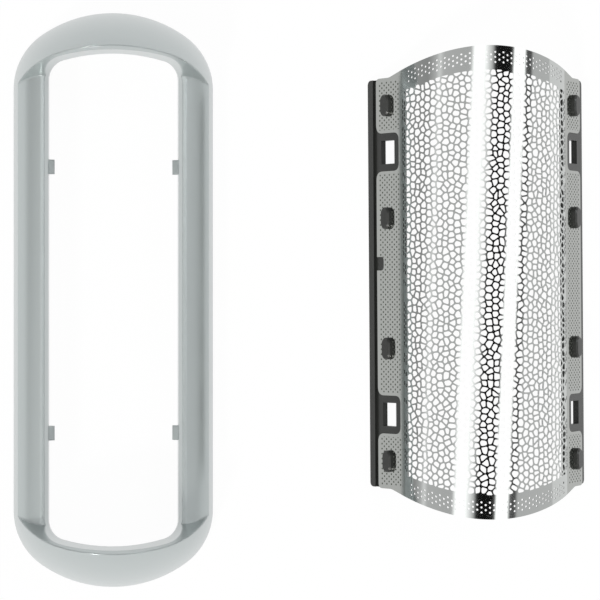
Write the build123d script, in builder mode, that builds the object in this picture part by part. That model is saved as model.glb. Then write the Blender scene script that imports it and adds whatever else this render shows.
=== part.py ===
from build123d import *
from itertools import product
from math import atan2, cos, degrees, radians, sin, sqrt, tan
import os

# A shaver foil head taken apart. The oval frame stands on its base with the well facing up. Beside it the
# foil cartridge, a thin arched foil staked to two carrier strips, stands on the feet of its strips.
# Millimetres. +X runs from the frame to the cartridge, +Y along both, +Z up from the table.

# Frame, outside
frame_width = 19.6
frame_length = 56.5
end_crown_radius = 12.2
end_shoulder_radius = 6.5
wall_lean = 6.0
wall_radius = 26.0
frame_height = 12.0
dome_stations = 5
base_round = 0.25

# Frame, the well that the cartridge clips into: its sides flare out and its ends lean in
side_wall = 3.5
end_wall = 3.95
end_step = 0.5
well_crown_radius = 17.0
well_corner_radius = 2.0
flare_start = 4.4
flare_angle = 18.0
flare_end_step = 0.35
flare_crown_radius = 27.0
flare_corner_radius = 4.5

# Frame, the low crowned rails between the two domed ends
rail_height = 5.4
rail_land = 0.35
rail_edge_angle = 25.0
rail_crown_radius = 5.0
rail_end_step = 2.2
end_wall_angle = 18.0

# Frame, hollow underside
outer_wall = 1.3
inner_wall = 1.05
core_height = 6.6
core_end_length = 6.0
groove_depth = 1.6
rib_thickness = 0.9
rib_spacing = 4.6

# Frame, latch nubs on the rails
latch_spacing = 25.8
nub_length = 1.4
nub_reach = 0.6
nub_height = 1.2
nub_top = 3.6

# Foil, an arch that runs straight on into a flat margin each side
foil_thickness = 0.1
arch_radius = 9.73
splay = 55.5
foil_end_clearance = 1.0
crease_step = 1.95
margin_step = 0.65
margin_width = 3.9
margin_shoulder = 2.0
shoulder_round = 1.5
margin_corner_radius = 0.5

# Foil, cut-outs in the margins
cutout_start = 0.63
cutout_length = 3.75
cutout_corner_radius = 0.75
cutout_mouth_radius = 0.8
key_offset = 1.95
key_length = 1.33
key_depth = 0.98
key_corner_radius = 0.4

# Foil, perforation
apex_band = 2.35
crease_band = 2.15
mesh_edge = 0.35
cell_pitch = 3.2
cell_web = 0.48

# Carrier strips
margin_overhang = 0.12
right_overhang = 0.7
carrier_thickness = 0.6
carrier_corner_radius = 0.45
crease_gap = 0.25
rim_gap = 0.3
rim_width = 0.75
rim_rise = 0.25
window_start = 1.36
window_width = 1.93
window_length = 2.3

# Stakes that hold the foil to the strips
stake_inner_spacing = 12.8
stake_from_end = 2.6
stake_from_crease = 2.3
stake_diameter = 0.9
stake_clearance = 0.05
head_width = 1.2
head_length = 2.15
head_height = 0.5
head_chamfer = 0.15

# Where the two halves stand
gap_between = 15.3
cartridge_forward = 1.7
cartridge_turn = 0.4

# Lengths and widths that follow from the above
well_width = frame_width - 2 * side_wall
well_foot_length = frame_length - 2 * end_wall
well_length = well_foot_length - 2 * end_step
flare_length = well_length - 2 * flare_end_step
apex_length = well_length - 2 * foil_end_clearance
crease_length = apex_length - 2 * crease_step
margin_length = crease_length - 2 * margin_step
mesh_apex_length = apex_length - 2 * apex_band
mesh_crease_length = crease_length - 2 * crease_band
carrier_length = margin_length - 2 * margin_overhang
left_carrier_width = margin_width + rim_gap + rim_width
right_carrier_width = margin_width + right_overhang
stake_outer_spacing = carrier_length - 2 * stake_from_end

# The cartridge's section: crease heights, feet, and the roll that brings both feet to the table
lean = radians(splay)
crease_x = arch_radius * sin(lean)
carrier_depth = foil_thickness + carrier_thickness
crease_z = left_carrier_width * sin(lean) + carrier_depth * cos(lean)
arch_center_z = crease_z - arch_radius * cos(lean)
left_foot_x = -crease_x - left_carrier_width * cos(lean) + carrier_depth * sin(lean)
right_foot_x = crease_x + right_carrier_width * cos(lean) - carrier_depth * sin(lean)
right_foot_z = (left_carrier_width - right_carrier_width) * sin(lean)
roll = degrees(atan2(right_foot_z, right_foot_x - left_foot_x))
level = Location((left_foot_x, 0, 0)) * Location((0, 0, 0), (0, roll, 0)) * Location((-left_foot_x, 0, 0))


def reach(side, width, rise):
    """How far a strip's outer edge stands off the cartridge's middle, once rolled and turned."""
    x = crease_x + width * cos(lean) + rise * sin(lean)
    z = crease_z - width * sin(lean) + rise * cos(lean)
    edge_x = abs((level * Location((side * x, 0, z))).position.X)
    turn = radians(cartridge_turn)
    return edge_x * cos(turn) + (carrier_length / 2 - carrier_corner_radius) * sin(turn)


left_reach = reach(-1, left_carrier_width, rim_rise - foil_thickness)
right_reach = reach(1, right_carrier_width, -foil_thickness)
total_width = frame_width + gap_between + left_reach + right_reach
frame_x = (frame_width - total_width) / 2
cartridge_x = total_width / 2 - right_reach

frame_base = Plane((frame_x, 0, 0))
frame_middle = Plane((frame_x, 0, 0), x_dir=(0, 1, 0), z_dir=(1, 0, 0))
frame_across = Plane((frame_x, 0, 0), x_dir=(1, 0, 0), z_dir=(0, -1, 0))
cartridge = Location((cartridge_x, cartridge_forward, 0), (0, 0, cartridge_turn)) * level


def oval(width, length, crown_radius, corner_radius):
    """Adds a long outline with straight sides and bowed ends to the sketch in hand."""
    x, y = width / 2, length / 2
    shoulder = y - crown_radius + sqrt(crown_radius**2 - x**2)
    with BuildSketch(mode=Mode.PRIVATE) as outline:
        with BuildLine():
            ThreePointArc((-x, shoulder), (0, y), (x, shoulder))
            Line((x, shoulder), (x, -shoulder))
            ThreePointArc((x, -shoulder), (0, -y), (-x, -shoulder))
            Line((-x, -shoulder), (-x, shoulder))
        make_face()
        fillet(outline.vertices(), corner_radius)
    return add(outline.sketch)


def well_outline(length):
    oval(well_width, length, well_crown_radius, well_corner_radius)


def wall_inset(height):
    """How far the domed outer wall has come in from the base outline at a height."""
    lean = radians(wall_lean)
    return wall_radius * cos(lean) - sqrt(wall_radius**2 - (height + wall_radius * sin(lean)) ** 2)


def frame_outline(height, inset):
    step = inset + wall_inset(height)
    oval(frame_width - 2 * step, frame_length - 2 * step, end_crown_radius - step, end_shoulder_radius - step)


# Core of the hollow underside: deep pockets under the ends, a shallow groove under the rails
with BuildPart() as core:
    for station in range(3):
        height = station * core_height / 2
        with BuildSketch(frame_base.offset(height)):
            frame_outline(height, outer_wall)
    loft()
    with BuildSketch(frame_base):
        oval(
            well_width + 2 * inner_wall,
            well_foot_length + 2 * inner_wall,
            well_crown_radius + inner_wall,
            well_corner_radius + inner_wall,
        )
    extrude(amount=core_height, mode=Mode.SUBTRACT)
    with BuildSketch(frame_base.offset(groove_depth)):
        Rectangle(frame_width, frame_length - 2 * core_end_length)
    extrude(amount=core_height, mode=Mode.SUBTRACT)
    with BuildSketch(frame_base):
        with GridLocations(rib_spacing, frame_length - core_end_length, 3, 2):
            Rectangle(rib_thickness, frame_length)
    extrude(amount=core_height, mode=Mode.SUBTRACT)

# Air above the rails and between the end walls; outside the well its floor is crowned and falls away
flare_slope = tan(radians(flare_angle))
ridge_x = well_width / 2 + (rail_height - flare_start) * flare_slope + rail_land
edge_angle = radians(rail_edge_angle)
foot_y = well_length / 2 - rail_end_step
end_slope = tan(radians(end_wall_angle))
air_top = 2 * frame_height
with BuildPart() as scoop:
    with BuildSketch(frame_across):
        with BuildLine():
            to_edge = Vector(sin(edge_angle), cos(edge_angle))
            center = Vector(ridge_x, rail_height) - rail_crown_radius * to_edge
            crown = CenterArc(center, rail_crown_radius, 90 - rail_edge_angle, rail_edge_angle - 80)
            Line((0, rail_height), crown @ 0)
            Polyline(crown @ 1, (frame_width, (crown @ 1).Y), (frame_width, air_top), (0, air_top))
            mirror(about=Plane.YZ)
        make_face()
    extrude(amount=frame_length, both=True)
    with BuildSketch(frame_middle):
        with BuildLine():
            low = foot_y - rail_height * end_slope
            high = foot_y + (air_top - rail_height) * end_slope
            Polyline((-low, 0), (low, 0), (high, air_top), (-high, air_top), close=True)
        make_face()
    extrude(amount=frame_width, both=True, mode=Mode.INTERSECT)

# Frame, one moulding
with BuildPart() as frame:
    for station in range(dome_stations):
        height = station * frame_height / (dome_stations - 1)
        with BuildSketch(frame_base.offset(height)):
            frame_outline(height, 0)
    loft()
    add(scoop.part, mode=Mode.SUBTRACT)
    with BuildSketch(frame_base):
        well_outline(well_foot_length)
    with BuildSketch(frame_base.offset(flare_start)):
        well_outline(well_length)
    loft(mode=Mode.SUBTRACT)
    flare_reach = (frame_height - flare_start) * flare_slope
    with BuildSketch(frame_base.offset(flare_start)):
        well_outline(well_length)
    with BuildSketch(frame_base.offset(frame_height)):
        oval(well_width + 2 * flare_reach, flare_length, flare_crown_radius, flare_corner_radius)
    loft(mode=Mode.SUBTRACT)
    fillet(frame.edges().group_by(Axis.Z)[0], base_round)
    add(core.part, mode=Mode.SUBTRACT)
    for side, nub_y in product((1, -1), (latch_spacing / 2, -latch_spacing / 2)):
        with BuildSketch(Plane((frame_x, nub_y, 0), x_dir=(side, 0, 0), z_dir=(0, -side, 0))):
            with BuildLine():
                Polyline(
                    (well_width / 2 + inner_wall / 2, nub_top),
                    (well_width / 2, nub_top),
                    (well_width / 2 - nub_reach, nub_top - nub_height / 3),
                    (well_width / 2 - nub_reach, nub_top - nub_height / 2),
                    (well_width / 2, nub_top - nub_height),
                    (well_width / 2 + inner_wall / 2, nub_top - nub_height),
                    close=True,
                )
            make_face()
        extrude(amount=nub_length / 2, both=True)

frame.part.label = "frame"


def standing(plane):
    """Takes a plane from the cartridge's own middle to where the cartridge stands."""
    return Plane(cartridge * plane.location)


def arch_plane(angle):
    """Touches the arch's outside at an angle from its top: X down the arch, Z out of it."""
    x, z = arch_radius * sin(angle), arch_center_z + arch_radius * cos(angle)
    side = 1 if angle >= 0 else -1
    return Plane(
        (x, 0, z), x_dir=(side * cos(angle), 0, -side * sin(angle)), z_dir=(sin(angle), 0, cos(angle))
    )


def margin_plane(side):
    """The outside of a margin: origin on the crease, X down the margin, Z out of it."""
    return standing(arch_plane(side * radians(splay)))


def stake_places():
    return [
        (stake_from_crease, half * spacing / 2)
        for spacing in (stake_inner_spacing, stake_outer_spacing)
        for half in (1, -1)
    ]


# Perforation: staggered columns of six-sided cells, each column square to the arch
bow = (mesh_apex_length - mesh_crease_length) / 2
bow_radius = (crease_x**2 + bow**2) / (2 * bow)
column_step = cell_pitch * sqrt(3) / 2 / arch_radius
columns = int((radians(splay) - mesh_edge / arch_radius) / column_step)
with BuildPart() as cells:
    for column in range(-columns, columns + 1):
        angle = column * column_step
        reach = mesh_apex_length / 2 - bow_radius + sqrt(bow_radius**2 - (arch_radius * sin(angle)) ** 2)
        rows = int(2 * reach / cell_pitch)
        rows -= (rows + column + 1) % 2
        with BuildSketch(standing(arch_plane(angle)).offset(-2 * foil_thickness)):
            with GridLocations(1, cell_pitch, 1, rows):
                RegularPolygon((cell_pitch - cell_web) / 2, 6, major_radius=False, rotation=30)
    extrude(amount=4 * foil_thickness)

with BuildPart() as shaving_foil:
    with BuildSketch(standing(Plane.XZ)):
        with BuildLine():
            outer = CenterArc((0, arch_center_z), arch_radius, 90 - splay, 2 * splay)
            inner = CenterArc((0, arch_center_z), arch_radius - foil_thickness, 90 - splay, 2 * splay)
            Line(outer @ 0, inner @ 0)
            Line(outer @ 1, inner @ 1)
        make_face()
    extrude(amount=apex_length / 2, both=True)
    with BuildSketch(standing(Plane.XY)):
        with BuildLine():
            ThreePointArc(
                (crease_x, crease_length / 2), (0, apex_length / 2), (-crease_x, crease_length / 2)
            )
            Line((crease_x, crease_length / 2), (crease_x, 0))
            Line((-crease_x, crease_length / 2), (-crease_x, 0))
            mirror(about=Plane.XZ)
        make_face()
    extrude(amount=2 * arch_radius, mode=Mode.INTERSECT)
    for side in (1, -1):
        with BuildSketch(margin_plane(side)) as margin:
            with BuildLine():
                end = Polyline(
                    (0, crease_length / 2),
                    (margin_shoulder, margin_length / 2),
                    (margin_width, margin_length / 2),
                    (margin_width, 0),
                )
                mirror(about=Plane.XZ)
                Line((0, crease_length / 2), (0, -crease_length / 2))
            make_face()
            shoulders = margin.vertices().filter_by_position(Axis.X, margin_shoulder, margin_shoulder)
            fillet(shoulders, shoulder_round)
            fillet(margin.vertices().group_by(Axis.X)[-1], margin_corner_radius)
            with Locations((cutout_start, latch_spacing / 2), (cutout_start, -latch_spacing / 2)):
                Rectangle(margin_width, cutout_length, align=(Align.MIN, Align.CENTER), mode=Mode.SUBTRACT)
            corners = margin.vertices().filter_by_position(Axis.X, cutout_start, cutout_start)
            fillet(corners, cutout_corner_radius)
            mouths = margin.vertices().filter_by_position(Axis.X, margin_width, margin_width)
            mouths = mouths.filter_by(lambda corner: abs(abs(corner.Y) - latch_spacing / 2) < cutout_length)
            fillet(mouths, cutout_mouth_radius)
            if side < 0:
                with Locations((margin_width - key_depth, -key_offset)):
                    Rectangle(margin_width, key_length, align=(Align.MIN, Align.CENTER), mode=Mode.SUBTRACT)
                notch = margin.vertices().filter_by(lambda corner: abs(corner.Y + key_offset) < key_length)
                fillet(notch, key_corner_radius)
            with Locations(*stake_places()):
                Circle(stake_diameter / 2 + stake_clearance, mode=Mode.SUBTRACT)
        extrude(amount=-foil_thickness)
    add(cells.part, mode=Mode.SUBTRACT, clean=False)

shaving_foil.part.label = "shaving_foil"


carriers = []
for name, side, width in (
    ("left_carrier", -1, left_carrier_width),
    ("right_carrier", 1, right_carrier_width),
):
    outside = margin_plane(side)
    seat = outside.offset(-foil_thickness)
    with BuildPart() as carrier:
        with BuildSketch(seat.offset(-carrier_thickness)) as plate:
            with Locations((crease_gap, 0)):
                Rectangle(width - crease_gap, carrier_length, align=(Align.MIN, Align.CENTER))
            fillet(plate.vertices(), carrier_corner_radius)
            with Locations((window_start, latch_spacing / 2), (window_start, -latch_spacing / 2)):
                Rectangle(window_width, window_length, align=(Align.MIN, Align.CENTER), mode=Mode.SUBTRACT)
        extrude(amount=carrier_thickness)
        with BuildSketch(seat):
            with Locations(*stake_places()):
                Circle(stake_diameter / 2)
        extrude(amount=foil_thickness)
        with BuildSketch(outside):
            with Locations(*stake_places()):
                SlotOverall(head_length, head_width, rotation=90)
        extrude(amount=head_height)
        head_tops = carrier.faces().group_by(Axis((0, 0, 0), outside.z_dir))[-1]
        chamfer(head_tops.edges(), head_chamfer)
        if side < 0:
            with BuildSketch(seat) as rim:
                with Locations((margin_width + rim_gap, 0)):
                    Rectangle(rim_width, carrier_length, align=(Align.MIN, Align.CENTER))
                fillet(rim.vertices().group_by(Axis.X)[-1], carrier_corner_radius)
            extrude(amount=rim_rise)
    carrier.part.label = name
    carriers.append(carrier)

if __name__ == "__main__":
    os.makedirs("parts", exist_ok=True)
    export_step(frame.part, "parts/frame.step")
    export_step(shaving_foil.part, "parts/shaving_foil.step")
    for piece in carriers:
        export_step(piece.part, f"parts/{piece.part.label}.step")
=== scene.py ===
from math import atan2, cos, hypot, pi, radians, sin, sqrt, tan
from random import Random

import bpy
from mathutils import Matrix, Vector
from mathutils.geometry import delaunay_2d_cdt


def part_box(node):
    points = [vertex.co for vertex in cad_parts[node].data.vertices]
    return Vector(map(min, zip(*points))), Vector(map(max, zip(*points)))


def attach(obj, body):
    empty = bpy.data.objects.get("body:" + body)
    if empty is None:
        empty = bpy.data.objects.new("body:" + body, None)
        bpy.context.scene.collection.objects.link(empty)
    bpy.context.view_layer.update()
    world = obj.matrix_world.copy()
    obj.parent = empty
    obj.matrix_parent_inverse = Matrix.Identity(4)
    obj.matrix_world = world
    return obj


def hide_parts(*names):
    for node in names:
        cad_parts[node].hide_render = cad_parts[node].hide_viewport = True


# A shaver foil head taken apart, seen from above on a white table: the silver frame on the left and the foil
# cartridge on the right. The foil is made here as one fine perforated sheet, bent from a flat pattern.
# Lengths in the script are millimetres; MM turns them into the frame's metres.
MM = 0.001

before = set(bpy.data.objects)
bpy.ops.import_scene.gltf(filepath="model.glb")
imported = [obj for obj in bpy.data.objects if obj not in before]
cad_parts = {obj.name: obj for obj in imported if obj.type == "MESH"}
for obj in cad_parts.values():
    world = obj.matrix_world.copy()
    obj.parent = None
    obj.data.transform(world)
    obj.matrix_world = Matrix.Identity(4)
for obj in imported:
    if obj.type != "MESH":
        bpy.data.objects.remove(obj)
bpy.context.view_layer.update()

# Flat pattern of the foil: "across" runs round the arch from its top, "along" is the cartridge's length
ARCH_RADIUS = 9.73
SPLAY = radians(55.5)
FOIL_THICKNESS = 0.06
APEX_LENGTH = 45.6
CREASE_LENGTH = 41.7
MARGIN_LENGTH = 40.4
MARGIN_WIDTH = 3.9
MARGIN_SHOULDER = 2.0
SHOULDER_ROUND = 1.5
MARGIN_CORNER_ROUND = 0.5
CUTOUT_SPACING = 25.8
CUTOUT_START = 0.63
CUTOUT_LENGTH = 3.75
CUTOUT_CORNER_ROUND = 0.75
CUTOUT_MOUTH_ROUND = 0.85
KEY_OFFSET = 1.95
KEY_LENGTH = 1.33
KEY_DEPTH = 0.98
KEY_CORNER_ROUND = 0.4
STAKE_FROM_CREASE = 2.3
STAKE_SPACINGS = (12.8, 34.96)
STAKE_HOLE_RADIUS = 0.5
CARTRIDGE_TURN = radians(0.4)
CARTRIDGE_ROLL = radians(0.814)

# Perforated field and its cells: jitter and cut corners are shares, and the smallest cell is an area
FIELD_APEX_LENGTH = 40.9
FIELD_CREASE_LENGTH = 37.4
FIELD_EDGE = 0.34
CELL_ACROSS = 0.6
CELL_ALONG = 0.66
CELL_JITTER = 0.33
CELL_WEB = 0.15
CELL_CORNER = 0.2
CELL_SMALLEST = 0.06
CELL_SEED = 11

# Dimples in the margins, pierced dots in the plain end bands, and the rows of slots inside the creases.
# A slot takes a share of its pitch, and a share of the slots is left out.
MARGIN_DOTS_FROM_CREASE = 0.5
MARGIN_DOTS_FROM_EDGE = 0.35
MARGIN_DOTS_FROM_CUTOUT = 0.3
MARGIN_DOT_RADIUS = 0.095
MARGIN_DOT_ACROSS = 0.67
MARGIN_DOT_ALONG = 0.245
BAND_DOT_RADIUS = 0.1
BAND_DOT_ACROSS = 0.82
BAND_DOT_ALONG = 0.245
BAND_DOTS_FROM_FIELD = 0.6
BAND_DOTS_FROM_END = 0.57
BAND_DOTS_FROM_CREASE = 0.5
SLOT_ROWS = (0.02, 0.25)
SLOT_WIDTH = 0.1
SLOT_SHARE = 0.68
SLOT_PITCH = 0.55
SLOTS_LEFT_OUT = 0.2

# How finely the sheet is drawn
ARC_STEP = 0.1
BOW_STEPS = 40
CREASE_STEPS = 80
BEND_STEP = 0.4
BEND_CLEARANCE = 0.2
HOLE_CORNERS = 12
MERGE_DISTANCE = 1e-5

# Colors and finish
WHITE = (1, 1, 1, 1)
NICKEL = (0.54, 0.555, 0.545)
# Darker nickel for the flat margins: a painted darker reflection, the same metal as the arch
NICKEL_MARGIN_SHADED = (0.38, 0.39, 0.375)
# Near-black matt spots for the margin dimples: painted shade in their hollows
DIMPLE_SHADE = (0.1, 0.11, 0.095)
# Black matt for the crease slots: painted shade of the dark inside seen through them
SLOT_SHADE = (0.01, 0.01, 0.01)
SILVER = (0.47, 0.51, 0.51)
BLACK = (0.02, 0.021, 0.019)
EDGE_SOFTNESS = 0.25

# Table
FLOOR_SIZE = 2000
FLOOR_DROP = 0.02
FLOOR_GLOW = 0.97

# Studio seen in reflections: its brightness changes with the angle from straight up towards +X, and the skew
# leans its bands along Y. Each stop is (angle, brightness). SOFT_LIGHT is the even light on the object.
SOFT_LIGHT = 0.6
STUDIO_SKEW = 2.35
STUDIO_RANGE = 120
STUDIO = (
    (-110, 0.5),
    (-76, 0.42),
    (-66, 0.72),
    (-62, 1.1),
    (-57, 0.72),
    (-26, 0.66),
    (-21, 2.2),
    (-13, 2.2),
    (-1, 0.7),
    (2, 0.01),
    (23, 0.01),
    (25, 2.2),
    (38, 2.2),
    (40.5, 0.12),
    (47, 0.12),
    (50, 0.72),
    (110, 0.78),
)

# Lamps: (name, direction the light comes from, color, strength, softness in degrees)
LAMPS = (
    ("key", (-0.6, -0.8, 1.0), (1.0, 0.99, 0.95), 1.5, 8),
    ("fill", (0.6, 0.4, 1.0), (0.9, 0.97, 1.0), 0.35, 10),
)

# Camera: above the frame's centre line, aimed beside the middle of the set
CAMERA_HEIGHT = 231
AIM_X = -0.12
PICTURE_WIDTH = 59.46
SENSOR_WIDTH = 36
NEAREST_SEEN = 10

half_arc = ARCH_RADIUS * SPLAY
crease_x = ARCH_RADIUS * sin(SPLAY)
pose = Matrix.Rotation(CARTRIDGE_TURN, 3, "Z") @ Matrix.Rotation(CARTRIDGE_ROLL, 3, "Y")


def bow_end(across, apex_length, crease_length):
    """Where an end that is a circular arc in plan lies along the foil."""
    sagitta = (apex_length - crease_length) / 2
    radius = (crease_x**2 + sagitta**2) / (2 * sagitta)
    x = ARCH_RADIUS * sin(across / ARCH_RADIUS)
    return apex_length / 2 - radius + sqrt(radius**2 - x**2)


def rounded(corners):
    """A closed outline with each corner (x, y, radius) turned into a short arc."""
    outline = []
    for index, (x, y, radius) in enumerate(corners):
        corner = Vector((x, y))
        before = Vector(corners[index - 1][:2]) - corner
        after = Vector(corners[(index + 1) % len(corners)][:2]) - corner
        bend = pi - before.angle(after)
        if radius == 0 or bend < 0.01:
            outline.append(corner)
            continue
        reach = radius * tan(bend / 2)
        start = corner + before.normalized() * reach
        end = corner + after.normalized() * reach
        steps = max(2, round(radius * bend / ARC_STEP))
        for turn in range(steps + 1):
            share = turn / steps
            blend = start.lerp(corner, share).lerp(corner.lerp(end, share), share)
            outline.append(blend)
    return outline


def margin_edge(side):
    """Corners of one margin from +Y to -Y, with its cut-outs and, on the left, the key notch."""
    edge = half_arc + MARGIN_WIDTH
    corners = [
        (half_arc + MARGIN_SHOULDER, MARGIN_LENGTH / 2, SHOULDER_ROUND),
        (edge, MARGIN_LENGTH / 2, MARGIN_CORNER_ROUND),
    ]
    cutout = (CUTOUT_LENGTH, half_arc + CUTOUT_START, CUTOUT_CORNER_ROUND, CUTOUT_MOUTH_ROUND)
    notches = [(CUTOUT_SPACING / 2, *cutout), (-CUTOUT_SPACING / 2, *cutout)]
    if side < 0:
        notches.insert(1, (KEY_OFFSET, KEY_LENGTH, edge - KEY_DEPTH, KEY_CORNER_ROUND, 0))
    for middle, length, floor, floor_round, mouth_round in notches:
        corners += [
            (edge, middle + length / 2, mouth_round),
            (floor, middle + length / 2, floor_round),
            (floor, middle - length / 2, floor_round),
            (edge, middle - length / 2, mouth_round),
        ]
    corners += [
        (edge, -MARGIN_LENGTH / 2, MARGIN_CORNER_ROUND),
        (half_arc + MARGIN_SHOULDER, -MARGIN_LENGTH / 2, SHOULDER_ROUND),
    ]
    return [(side * across, along, radius) for across, along, radius in corners]


def foil_outline():
    """The flat pattern's whole outline, with the sheet on its left."""
    bow = [half_arc * (2 * step / BOW_STEPS - 1) for step in range(BOW_STEPS + 1)]
    top = [(across, bow_end(across, APEX_LENGTH, CREASE_LENGTH), 0) for across in bow]
    bottom = [(across, -along, 0) for across, along, _ in reversed(top)]
    return rounded(top + margin_edge(1) + bottom + margin_edge(-1)[::-1])[::-1]


def clip(polygon, normal, limit):
    """The part of a convex polygon where point . normal is below the limit."""
    kept = []
    for index, point in enumerate(polygon):
        previous = polygon[index - 1]
        here, there = limit - point.dot(normal), limit - previous.dot(normal)
        if here * there < 0:
            kept.append(previous.lerp(point, there / (there - here)))
        if here >= 0:
            kept.append(point)
    return kept


def area(polygon):
    """Area of a plane polygon."""
    return abs(sum(a.x * b.y - a.y * b.x for a, b in zip(polygon, polygon[1:] + polygon[:1]))) / 2


def cells():
    """Irregular cells: regions round scattered seeds, drawn in by half a web, with their corners cut."""
    scatter = Random(CELL_SEED)
    limit = half_arc - FIELD_EDGE
    seeds = {}
    columns = round(2 * limit / CELL_ACROSS)
    rows = round(FIELD_APEX_LENGTH / CELL_ALONG)
    across_step = 2 * limit / columns
    for column in range(-1, columns + 1):
        for row in range(-1, rows + 2):
            across = -limit + (column + 0.5 + scatter.uniform(-CELL_JITTER, CELL_JITTER)) * across_step
            shift = 0.5 * (column % 2) + scatter.uniform(-CELL_JITTER, CELL_JITTER)
            seeds[column, row] = Vector((across, (row + shift - rows / 2) * CELL_ALONG))
    made = []
    for (column, row), seed in seeds.items():
        end = bow_end(seed.x, FIELD_APEX_LENGTH, FIELD_CREASE_LENGTH)
        if abs(seed.x) > limit or abs(seed.y) > end + CELL_ALONG / 2:
            continue
        reach = 2 * CELL_ACROSS
        square = ((-reach, -reach), (reach, -reach), (reach, reach), (-reach, reach))
        cell = [seed + Vector(corner) for corner in square]
        for other_column in range(column - 2, column + 3):
            for other_row in range(row - 3, row + 4):
                other = seeds.get((other_column, other_row))
                if other is None or other == seed:
                    continue
                toward = (other - seed).normalized()
                cell = clip(cell, toward, toward.dot((seed + other) / 2) - CELL_WEB / 2)
        slope = bow_end(seed.x + ARC_STEP, FIELD_APEX_LENGTH, FIELD_CREASE_LENGTH) - end
        for half in (1, -1):
            outward = Vector((-half * slope, ARC_STEP * half)).normalized()
            outward.x *= half
            cell = clip(cell, outward, outward.dot(Vector((seed.x, half * end))))
            cell = clip(cell, Vector((half, 0)), limit)
        if len(cell) < 3 or area(cell) < CELL_SMALLEST:
            continue
        soft = []
        for index, point in enumerate(cell):
            following = cell[(index + 1) % len(cell)]
            soft += [point.lerp(following, CELL_CORNER), following.lerp(point, CELL_CORNER)]
        made.append(soft)
    return made


def stake_holes():
    """Round holes in both margins for the strips' stakes."""
    turns = [2 * pi * corner / HOLE_CORNERS for corner in range(HOLE_CORNERS)]
    ring = [(STAKE_HOLE_RADIUS * cos(turn), STAKE_HOLE_RADIUS * sin(turn)) for turn in turns]
    holes = []
    for side in (1, -1):
        for half in (1, -1):
            for spacing in STAKE_SPACINGS:
                across = side * (half_arc + STAKE_FROM_CREASE)
                along = half * spacing / 2
                holes.append([Vector((across + x, along + y)) for x, y in ring])
    return holes


def bend_points():
    """Loose points on the plain ends, so that the sheet bends smoothly there."""
    points = []
    columns = int(half_arc / BEND_STEP)
    for column in range(-columns, columns + 1):
        across = column * BEND_STEP
        inner = bow_end(across, FIELD_APEX_LENGTH, FIELD_CREASE_LENGTH) + BEND_CLEARANCE
        outer = bow_end(across, APEX_LENGTH, CREASE_LENGTH) - BEND_CLEARANCE
        for share in (0, 0.33, 0.67, 1):
            along = inner + (outer - inner) * share
            points += [Vector((across, along)), Vector((across, -along))]
    return points


def flat_sheet(outline, holes):
    """Triangles of the flat pattern between its outline and its holes, as (points, triangles)."""
    points, edges, faces = [], [], []
    for polygon in [outline, *holes]:
        first = len(points)
        points += polygon
        loop = list(range(first, len(points)))
        edges += list(zip(loop, loop[1:] + loop[:1]))
        faces.append(loop)
    for side in (1, -1):
        first = len(points)
        for step in range(1, CREASE_STEPS):
            points.append(Vector((side * half_arc, CREASE_LENGTH / 2 * (2 * step / CREASE_STEPS - 1))))
        edges += [(index, index + 1) for index in range(first, len(points) - 1)]
    points += bend_points()
    made = delaunay_2d_cdt(points, edges, faces, 0, MERGE_DISTANCE)
    triangles = [face for face, inside in zip(made[2], made[5]) if inside == [0]]
    return made[0], triangles


def bent(across, along, depth=0.0):
    """Where a point of the flat pattern lands, and its outward, across and along directions."""
    on_arch = max(-half_arc, min(half_arc, across))
    angle, beyond = on_arch / ARCH_RADIUS, across - on_arch
    radius = ARCH_RADIUS - depth
    outward = Vector((sin(angle), 0, cos(angle)))
    side = Vector((cos(angle), 0, -sin(angle)))
    place = outward * radius + side * beyond + Vector((0, along, 0))
    return pose @ place * MM, pose @ outward, pose @ side, pose @ Vector((0, 1, 0))


def boundary_edges(triangles):
    """Edges with a triangle on one side only, each with the sheet on its left."""
    seen = set()
    for triangle in triangles:
        seen.update(zip(triangle, triangle[1:] + triangle[:1]))
    return [(a, b) for a, b in seen if (b, a) not in seen]


def make_foil():
    """The perforated sheet: both faces, and walls round its outline and every hole."""
    flat, triangles = flat_sheet(foil_outline(), cells() + stake_holes())
    rim = boundary_edges(triangles)
    away = {}
    for a, b in rim:
        along_edge = (flat[b] - flat[a]).normalized()
        for end in (a, b):
            away[end] = away.get(end, Vector((0, 0))) + Vector((along_edge.y, -along_edge.x))
    vertices, normals, pattern, faces = [], [], [], []
    for face_sign, depth in ((1, 0.0), (-1, FOIL_THICKNESS)):
        first = len(vertices)
        for point in flat:
            place, outward, _, _ = bent(point.x, point.y, depth)
            vertices.append(place)
            normals.append(outward * face_sign)
            pattern.append(point)
        faces += [[first + index for index in triangle[::face_sign]] for triangle in triangles]
    walls = {}
    for index, direction in away.items():
        point = flat[index]
        direction = direction.normalized()
        for depth in (0.0, FOIL_THICKNESS):
            place, _, across, along = bent(point.x, point.y, depth)
            walls[index, depth] = len(vertices)
            vertices.append(place)
            normals.append(across * direction.x + along * direction.y)
            pattern.append(point)
    for a, b in rim:
        faces.append([walls[a, 0.0], walls[a, FOIL_THICKNESS], walls[b, FOIL_THICKNESS], walls[b, 0.0]])
    # The sheet takes the place of the plain foil: the same middle seen from above, and the same top
    low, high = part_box("shaving_foil")
    (left, right), (near, far), (_, top) = [(min(values), max(values)) for values in zip(*vertices)]
    shift = Vector(((low.x + high.x - left - right) / 2, (low.y + high.y - near - far) / 2, high.z - top))
    mesh = bpy.data.meshes.new("perforated_foil")
    mesh.from_pydata([place + shift for place in vertices], [], faces)
    for polygon in mesh.polygons:
        polygon.use_smooth = True
    layer = mesh.uv_layers.new(name="pattern")
    for loop in mesh.loops:
        layer.data[loop.index].uv = pattern[loop.vertex_index]
    mesh.normals_split_custom_set_from_vertices(normals)
    foil = bpy.data.objects.new("perforated_foil", mesh)
    bpy.context.scene.collection.objects.link(foil)
    return foil


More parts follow.
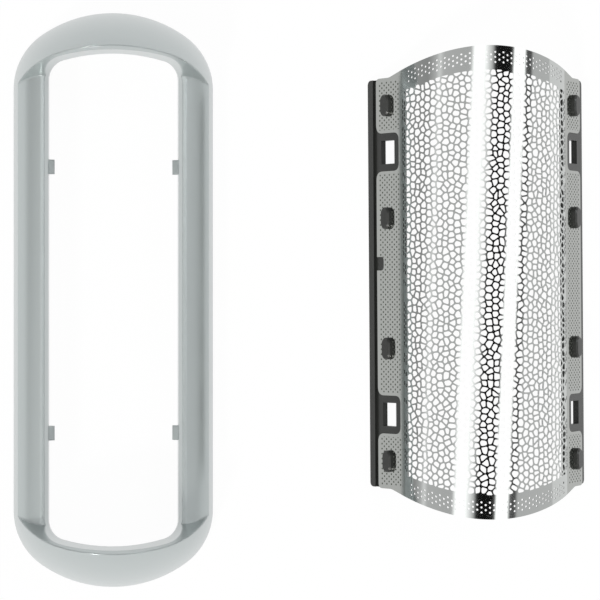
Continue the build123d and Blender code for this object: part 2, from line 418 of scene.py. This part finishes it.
def plug(tree, value, socket):
    """Links a node's output to a socket, or writes a plain value into it."""
    if isinstance(value, bpy.types.NodeSocket):
        tree.links.new(value, socket)
    else:
        socket.default_value = value


def math_node(tree, operation, *values):
    """Output of a Math node that works on other nodes' outputs or plain values."""
    node = tree.nodes.new("ShaderNodeMath")
    node.operation = operation
    for socket, value in zip(node.inputs, values):
        plug(tree, value, socket)
    return node.outputs["Value"]


def together(tree, *masks):
    """1 where every mask is 1, else 0."""
    result = masks[0]
    for mask in masks[1:]:
        result = math_node(tree, "MULTIPLY", result, mask)
    return result


def mixed(tree, share, first, second):
    """Goes from the first shader to the second as the share goes from 0 to 1."""
    mix = tree.nodes.new("ShaderNodeMixShader")
    tree.links.new(share, mix.inputs["Fac"])
    tree.links.new(first, mix.inputs[1])
    tree.links.new(second, mix.inputs[2])
    return mix.outputs["Shader"]


def matt(tree, color):
    """A matt shader in one color."""
    shader = tree.nodes.new("ShaderNodeBsdfDiffuse")
    shader.inputs["Color"].default_value = (*color, 1)
    return shader.outputs["BSDF"]


def surface(name, color, metallic, roughness):
    """A material with its shader: (material, node tree, Principled shader)."""
    material = bpy.data.materials.new(name)
    material.use_nodes = True
    tree = material.node_tree
    shader = tree.nodes["Principled BSDF"]
    shader.inputs["Base Color"].default_value = (*color, 1)
    shader.inputs["Metallic"].default_value = metallic
    shader.inputs["Roughness"].default_value = roughness
    return material, tree, shader


def grain(tree, shader, size, height, edge=0.0):
    """Fine bumps in the finish, and edges that catch the light as if rounded. Lengths are millimetres."""
    place = tree.nodes.new("ShaderNodeTexCoord")
    noise = tree.nodes.new("ShaderNodeTexNoise")
    noise.inputs["Scale"].default_value = 1 / (size * MM)
    noise.inputs["Detail"].default_value = 3
    tree.links.new(place.outputs["Object"], noise.inputs["Vector"])
    bump = tree.nodes.new("ShaderNodeBump")
    bump.inputs["Strength"].default_value = 1
    bump.inputs["Distance"].default_value = height * MM
    tree.links.new(noise.outputs["Fac"], bump.inputs["Height"])
    tree.links.new(bump.outputs["Normal"], shader.inputs["Normal"])
    if edge:
        rounded_edge = tree.nodes.new("ShaderNodeBevel")
        rounded_edge.inputs["Radius"].default_value = edge * MM
        tree.links.new(rounded_edge.outputs["Normal"], bump.inputs["Normal"])


def lattice(tree, across, along, across_pitch, along_pitch, radius):
    """1 inside the dots of a staggered lattice, else 0."""
    row = math_node(tree, "DIVIDE", along, along_pitch)
    odd = math_node(tree, "FLOORED_MODULO", math_node(tree, "FLOOR", row), 2.0)
    shift = math_node(tree, "MULTIPLY", odd, 0.5)
    column = math_node(tree, "ADD", math_node(tree, "DIVIDE", across, across_pitch), shift)
    squares = []
    for number, pitch in ((column, across_pitch), (row, along_pitch)):
        from_middle = math_node(tree, "SUBTRACT", math_node(tree, "FRACT", number), 0.5)
        offset = math_node(tree, "MULTIPLY", from_middle, pitch)
        squares.append(math_node(tree, "MULTIPLY", offset, offset))
    distance = math_node(tree, "SQRT", math_node(tree, "ADD", *squares))
    return math_node(tree, "LESS_THAN", distance, radius)


def margin_dots(tree, outward, along):
    """Dimples in the flat margins, clear of the creases, edges and cut-outs."""
    distance = math_node(tree, "ABSOLUTE", along)
    from_cutout = math_node(tree, "ABSOLUTE", math_node(tree, "SUBTRACT", distance, CUTOUT_SPACING / 2))
    return together(
        tree,
        lattice(tree, outward, along, MARGIN_DOT_ACROSS, MARGIN_DOT_ALONG, MARGIN_DOT_RADIUS),
        math_node(tree, "GREATER_THAN", outward, MARGIN_DOTS_FROM_CREASE),
        math_node(tree, "LESS_THAN", outward, MARGIN_WIDTH - MARGIN_DOTS_FROM_EDGE),
        math_node(tree, "LESS_THAN", distance, MARGIN_LENGTH / 2 - MARGIN_DOTS_FROM_EDGE),
        math_node(tree, "GREATER_THAN", from_cutout, CUTOUT_LENGTH / 2 + MARGIN_DOTS_FROM_CUTOUT),
    )


def band_dots(tree, across, along, outward):
    """Pierced dots in the plain end bands, in rows that follow the field's bowed ends."""
    sagitta = (FIELD_APEX_LENGTH - FIELD_CREASE_LENGTH) / 2
    radius = (crease_x**2 + sagitta**2) / (2 * sagitta)
    band = (APEX_LENGTH - FIELD_APEX_LENGTH) / 2
    angle = math_node(tree, "DIVIDE", across, ARCH_RADIUS)
    x = math_node(tree, "MULTIPLY", math_node(tree, "SINE", angle), ARCH_RADIUS)
    squares = math_node(tree, "SUBTRACT", radius**2, math_node(tree, "MULTIPLY", x, x))
    drop = math_node(tree, "SUBTRACT", radius, math_node(tree, "SQRT", squares))
    distance = math_node(tree, "ADD", math_node(tree, "ABSOLUTE", along), drop)
    past_field = math_node(tree, "SUBTRACT", distance, FIELD_APEX_LENGTH / 2)
    in_band = math_node(tree, "SUBTRACT", past_field, BAND_DOTS_FROM_FIELD)
    return together(
        tree,
        lattice(tree, across, in_band, BAND_DOT_ACROSS, BAND_DOT_ALONG, BAND_DOT_RADIUS),
        math_node(tree, "LESS_THAN", outward, -BAND_DOTS_FROM_CREASE),
        math_node(tree, "GREATER_THAN", past_field, BAND_DOTS_FROM_FIELD),
        math_node(tree, "LESS_THAN", past_field, band - BAND_DOTS_FROM_END),
    )


def crease_slots(tree, outward, along):
    """Rows of short slots just inside the creases, some of them left out at random."""
    distance = math_node(tree, "ABSOLUTE", along)
    slots = 0.0
    for inward in SLOT_ROWS:
        from_row = math_node(tree, "ABSOLUTE", math_node(tree, "ADD", outward, inward))
        number = math_node(tree, "ADD", math_node(tree, "DIVIDE", along, SLOT_PITCH), inward / SLOT_PITCH)
        chance = tree.nodes.new("ShaderNodeTexWhiteNoise")
        chance.noise_dimensions = "1D"
        tree.links.new(math_node(tree, "FLOOR", number), chance.inputs["W"])
        row = together(
            tree,
            math_node(tree, "LESS_THAN", from_row, SLOT_WIDTH / 2),
            math_node(tree, "LESS_THAN", math_node(tree, "FRACT", number), SLOT_SHARE),
            math_node(tree, "LESS_THAN", distance, FIELD_CREASE_LENGTH / 2),
            math_node(tree, "GREATER_THAN", chance.outputs["Value"], SLOTS_LEFT_OUT),
        )
        slots = math_node(tree, "MAXIMUM", slots, row)
    return slots


def nickel_foil():
    """Bright nickel with a painted darker reflection in its margins, the slots painted black and the dimples
    dark as painted shade, and the pierced dots laid over it.
    """
    material, tree, shader = surface("nickel_foil", NICKEL, metallic=1.0, roughness=0.06)
    pattern = tree.nodes.new("ShaderNodeUVMap")
    pattern.uv_map = "pattern"
    split = tree.nodes.new("ShaderNodeSeparateXYZ")
    tree.links.new(pattern.outputs["UV"], split.inputs["Vector"])
    across, along = split.outputs["X"], split.outputs["Y"]
    outward = math_node(tree, "SUBTRACT", math_node(tree, "ABSOLUTE", across), half_arc)
    # The margins get the darker nickel: a painted darker reflection on the same sheet
    margin_shade = tree.nodes.new("ShaderNodeMix")
    margin_shade.data_type = "RGBA"
    margin_shade.inputs["A"].default_value = (*NICKEL, 1)
    margin_shade.inputs["B"].default_value = (*NICKEL_MARGIN_SHADED, 1)
    tree.links.new(math_node(tree, "GREATER_THAN", outward, 0.0), margin_shade.inputs["Factor"])
    tree.links.new(margin_shade.outputs["Result"], shader.inputs["Base Color"])
    through = tree.nodes.new("ShaderNodeBsdfTransparent")
    # The slots are drawn black and matt: painted shade
    skin = mixed(tree, crease_slots(tree, outward, along), shader.outputs["BSDF"], matt(tree, SLOT_SHADE))
    # The dimples are drawn as dark matt spots: painted shade
    skin = mixed(tree, margin_dots(tree, outward, along), skin, matt(tree, DIMPLE_SHADE))
    skin = mixed(tree, band_dots(tree, across, along, outward), skin, through.outputs["BSDF"])
    tree.links.new(skin, tree.nodes["Material Output"].inputs["Surface"])
    return material


def silver_plastic():
    """Silver coat on the frame, with a fine grain and a thin clear layer."""
    material, tree, shader = surface("silver_plastic", SILVER, metallic=0.65, roughness=0.28)
    shader.inputs["Coat Weight"].default_value = 0.2
    shader.inputs["Coat Roughness"].default_value = 0.3
    grain(tree, shader, size=0.12, height=0.004, edge=EDGE_SOFTNESS)
    return material


def black_plastic():
    """Black moulding of the two strips."""
    material, tree, shader = surface("black_plastic", BLACK, metallic=0.0, roughness=0.33)
    grain(tree, shader, size=0.2, height=0.003)
    return material


def empty_tree(owner, output_kind):
    """Clears the nodes of a material or world: (node tree, its output's surface socket)."""
    owner.use_nodes = True
    tree = owner.node_tree
    tree.nodes.clear()
    return tree, tree.nodes.new(output_kind).inputs["Surface"]


def white_paper():
    """White to the eye and in reflections, with part of its real shading kept for the shadow."""
    material = bpy.data.materials.new("white_paper")
    tree, result = empty_tree(material, "ShaderNodeOutputMaterial")
    glow = tree.nodes.new("ShaderNodeEmission")
    glow.inputs["Strength"].default_value = 1
    rays = tree.nodes.new("ShaderNodeLightPath")
    bounced = math_node(tree, "MAXIMUM", rays.outputs["Is Glossy Ray"], rays.outputs["Is Transmission Ray"])
    seen = math_node(tree, "MAXIMUM", rays.outputs["Is Camera Ray"], bounced)
    share = math_node(tree, "MULTIPLY", seen, FLOOR_GLOW)
    tree.links.new(mixed(tree, share, matt(tree, WHITE[:3]), glow.outputs["Emission"]), result)
    return material


def background(tree, color, strength):
    """Light from all round in one color, or in the color that a node gives."""
    shader = tree.nodes.new("ShaderNodeBackground")
    plug(tree, color, shader.inputs["Color"])
    shader.inputs["Strength"].default_value = strength
    return shader.outputs["Background"]


def studio_bands(tree, brightest):
    """Color of the studio in each direction, as a share of its brightest stop."""
    place = tree.nodes.new("ShaderNodeTexCoord")
    split = tree.nodes.new("ShaderNodeSeparateXYZ")
    tree.links.new(place.outputs["Generated"], split.inputs["Vector"])
    lean = math_node(tree, "ARCTAN2", split.outputs["X"], split.outputs["Z"])
    skew = math_node(tree, "MULTIPLY", math_node(tree, "ARCSINE", split.outputs["Y"]), STUDIO_SKEW)
    degrees_up = math_node(tree, "MULTIPLY", math_node(tree, "SUBTRACT", lean, skew), 180 / pi)
    share = math_node(tree, "DIVIDE", math_node(tree, "ADD", degrees_up, STUDIO_RANGE), 2 * STUDIO_RANGE)
    ramp = tree.nodes.new("ShaderNodeValToRGB")
    tree.links.new(share, ramp.inputs["Fac"])
    stops = ramp.color_ramp.elements
    while len(stops) < len(STUDIO):
        stops.new(1)
    for stop, (angle, brightness) in zip(stops, STUDIO):
        stop.position = (angle + STUDIO_RANGE) / (2 * STUDIO_RANGE)
        stop.color = (*(3 * [brightness / brightest]), 1)
    return ramp.outputs["Color"]


def surround():
    """White to the eye, an even soft light on the object, and the banded studio in reflections."""
    world = bpy.data.worlds.new("studio")
    bpy.context.scene.world = world
    tree, result = empty_tree(world, "ShaderNodeOutputWorld")
    brightest = max(brightness for _, brightness in STUDIO)
    rays = tree.nodes.new("ShaderNodeLightPath")
    even = background(tree, WHITE, SOFT_LIGHT)
    reflected = background(tree, studio_bands(tree, brightest), brightest)
    cast = mixed(tree, rays.outputs["Is Glossy Ray"], even, reflected)
    seen = math_node(tree, "MAXIMUM", rays.outputs["Is Camera Ray"], rays.outputs["Is Transmission Ray"])
    tree.links.new(mixed(tree, seen, cast, background(tree, WHITE, 1)), result)


def hang_lamps():
    """Two soft suns."""
    for name, toward, color, strength, softness in LAMPS:
        lamp = bpy.data.lights.new(name, "SUN")
        lamp.color = color
        lamp.energy = strength
        lamp.angle = radians(softness)
        holder = bpy.data.objects.new(name, lamp)
        holder.rotation_mode = "QUATERNION"
        holder.rotation_quaternion = Vector(toward).to_track_quat("Z", "Y")
        bpy.context.scene.collection.objects.link(holder)


def place_camera():
    """Looks down from above the frame, turned a little towards the cartridge."""
    frame_low, frame_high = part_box("frame")
    camera_x = (frame_low.x + frame_high.x) / 2 / MM
    camera = bpy.data.objects.new("camera", bpy.data.cameras.new("camera"))
    camera.location = (camera_x * MM, 0, CAMERA_HEIGHT * MM)
    camera.rotation_euler = (0, atan2(camera_x - AIM_X, CAMERA_HEIGHT), 0)
    camera.data.sensor_width = SENSOR_WIDTH
    camera.data.lens = SENSOR_WIDTH * hypot(camera_x - AIM_X, CAMERA_HEIGHT) / PICTURE_WIDTH
    camera.data.clip_start = NEAREST_SEEN * MM
    bpy.context.scene.collection.objects.link(camera)
    bpy.context.scene.camera = camera


def dress(obj, material):
    """Gives an object one material in place of its own."""
    obj.data.materials.clear()
    obj.data.materials.append(material)


# Pieces
foil = make_foil()
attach(foil, "root")
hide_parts("shaving_foil")
dress(foil, nickel_foil())
dress(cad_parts["frame"], silver_plastic())
black = black_plastic()
for name in ("left_carrier", "right_carrier"):
    dress(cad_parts[name], black)

# Table, light and camera
bpy.ops.mesh.primitive_plane_add(size=FLOOR_SIZE * MM, location=(0, 0, -FLOOR_DROP * MM))
floor = bpy.context.object
floor.name = "table"
dress(floor, white_paper())
surround()
hang_lamps()
place_camera()
bpy.context.scene.view_settings.view_transform = "Standard"
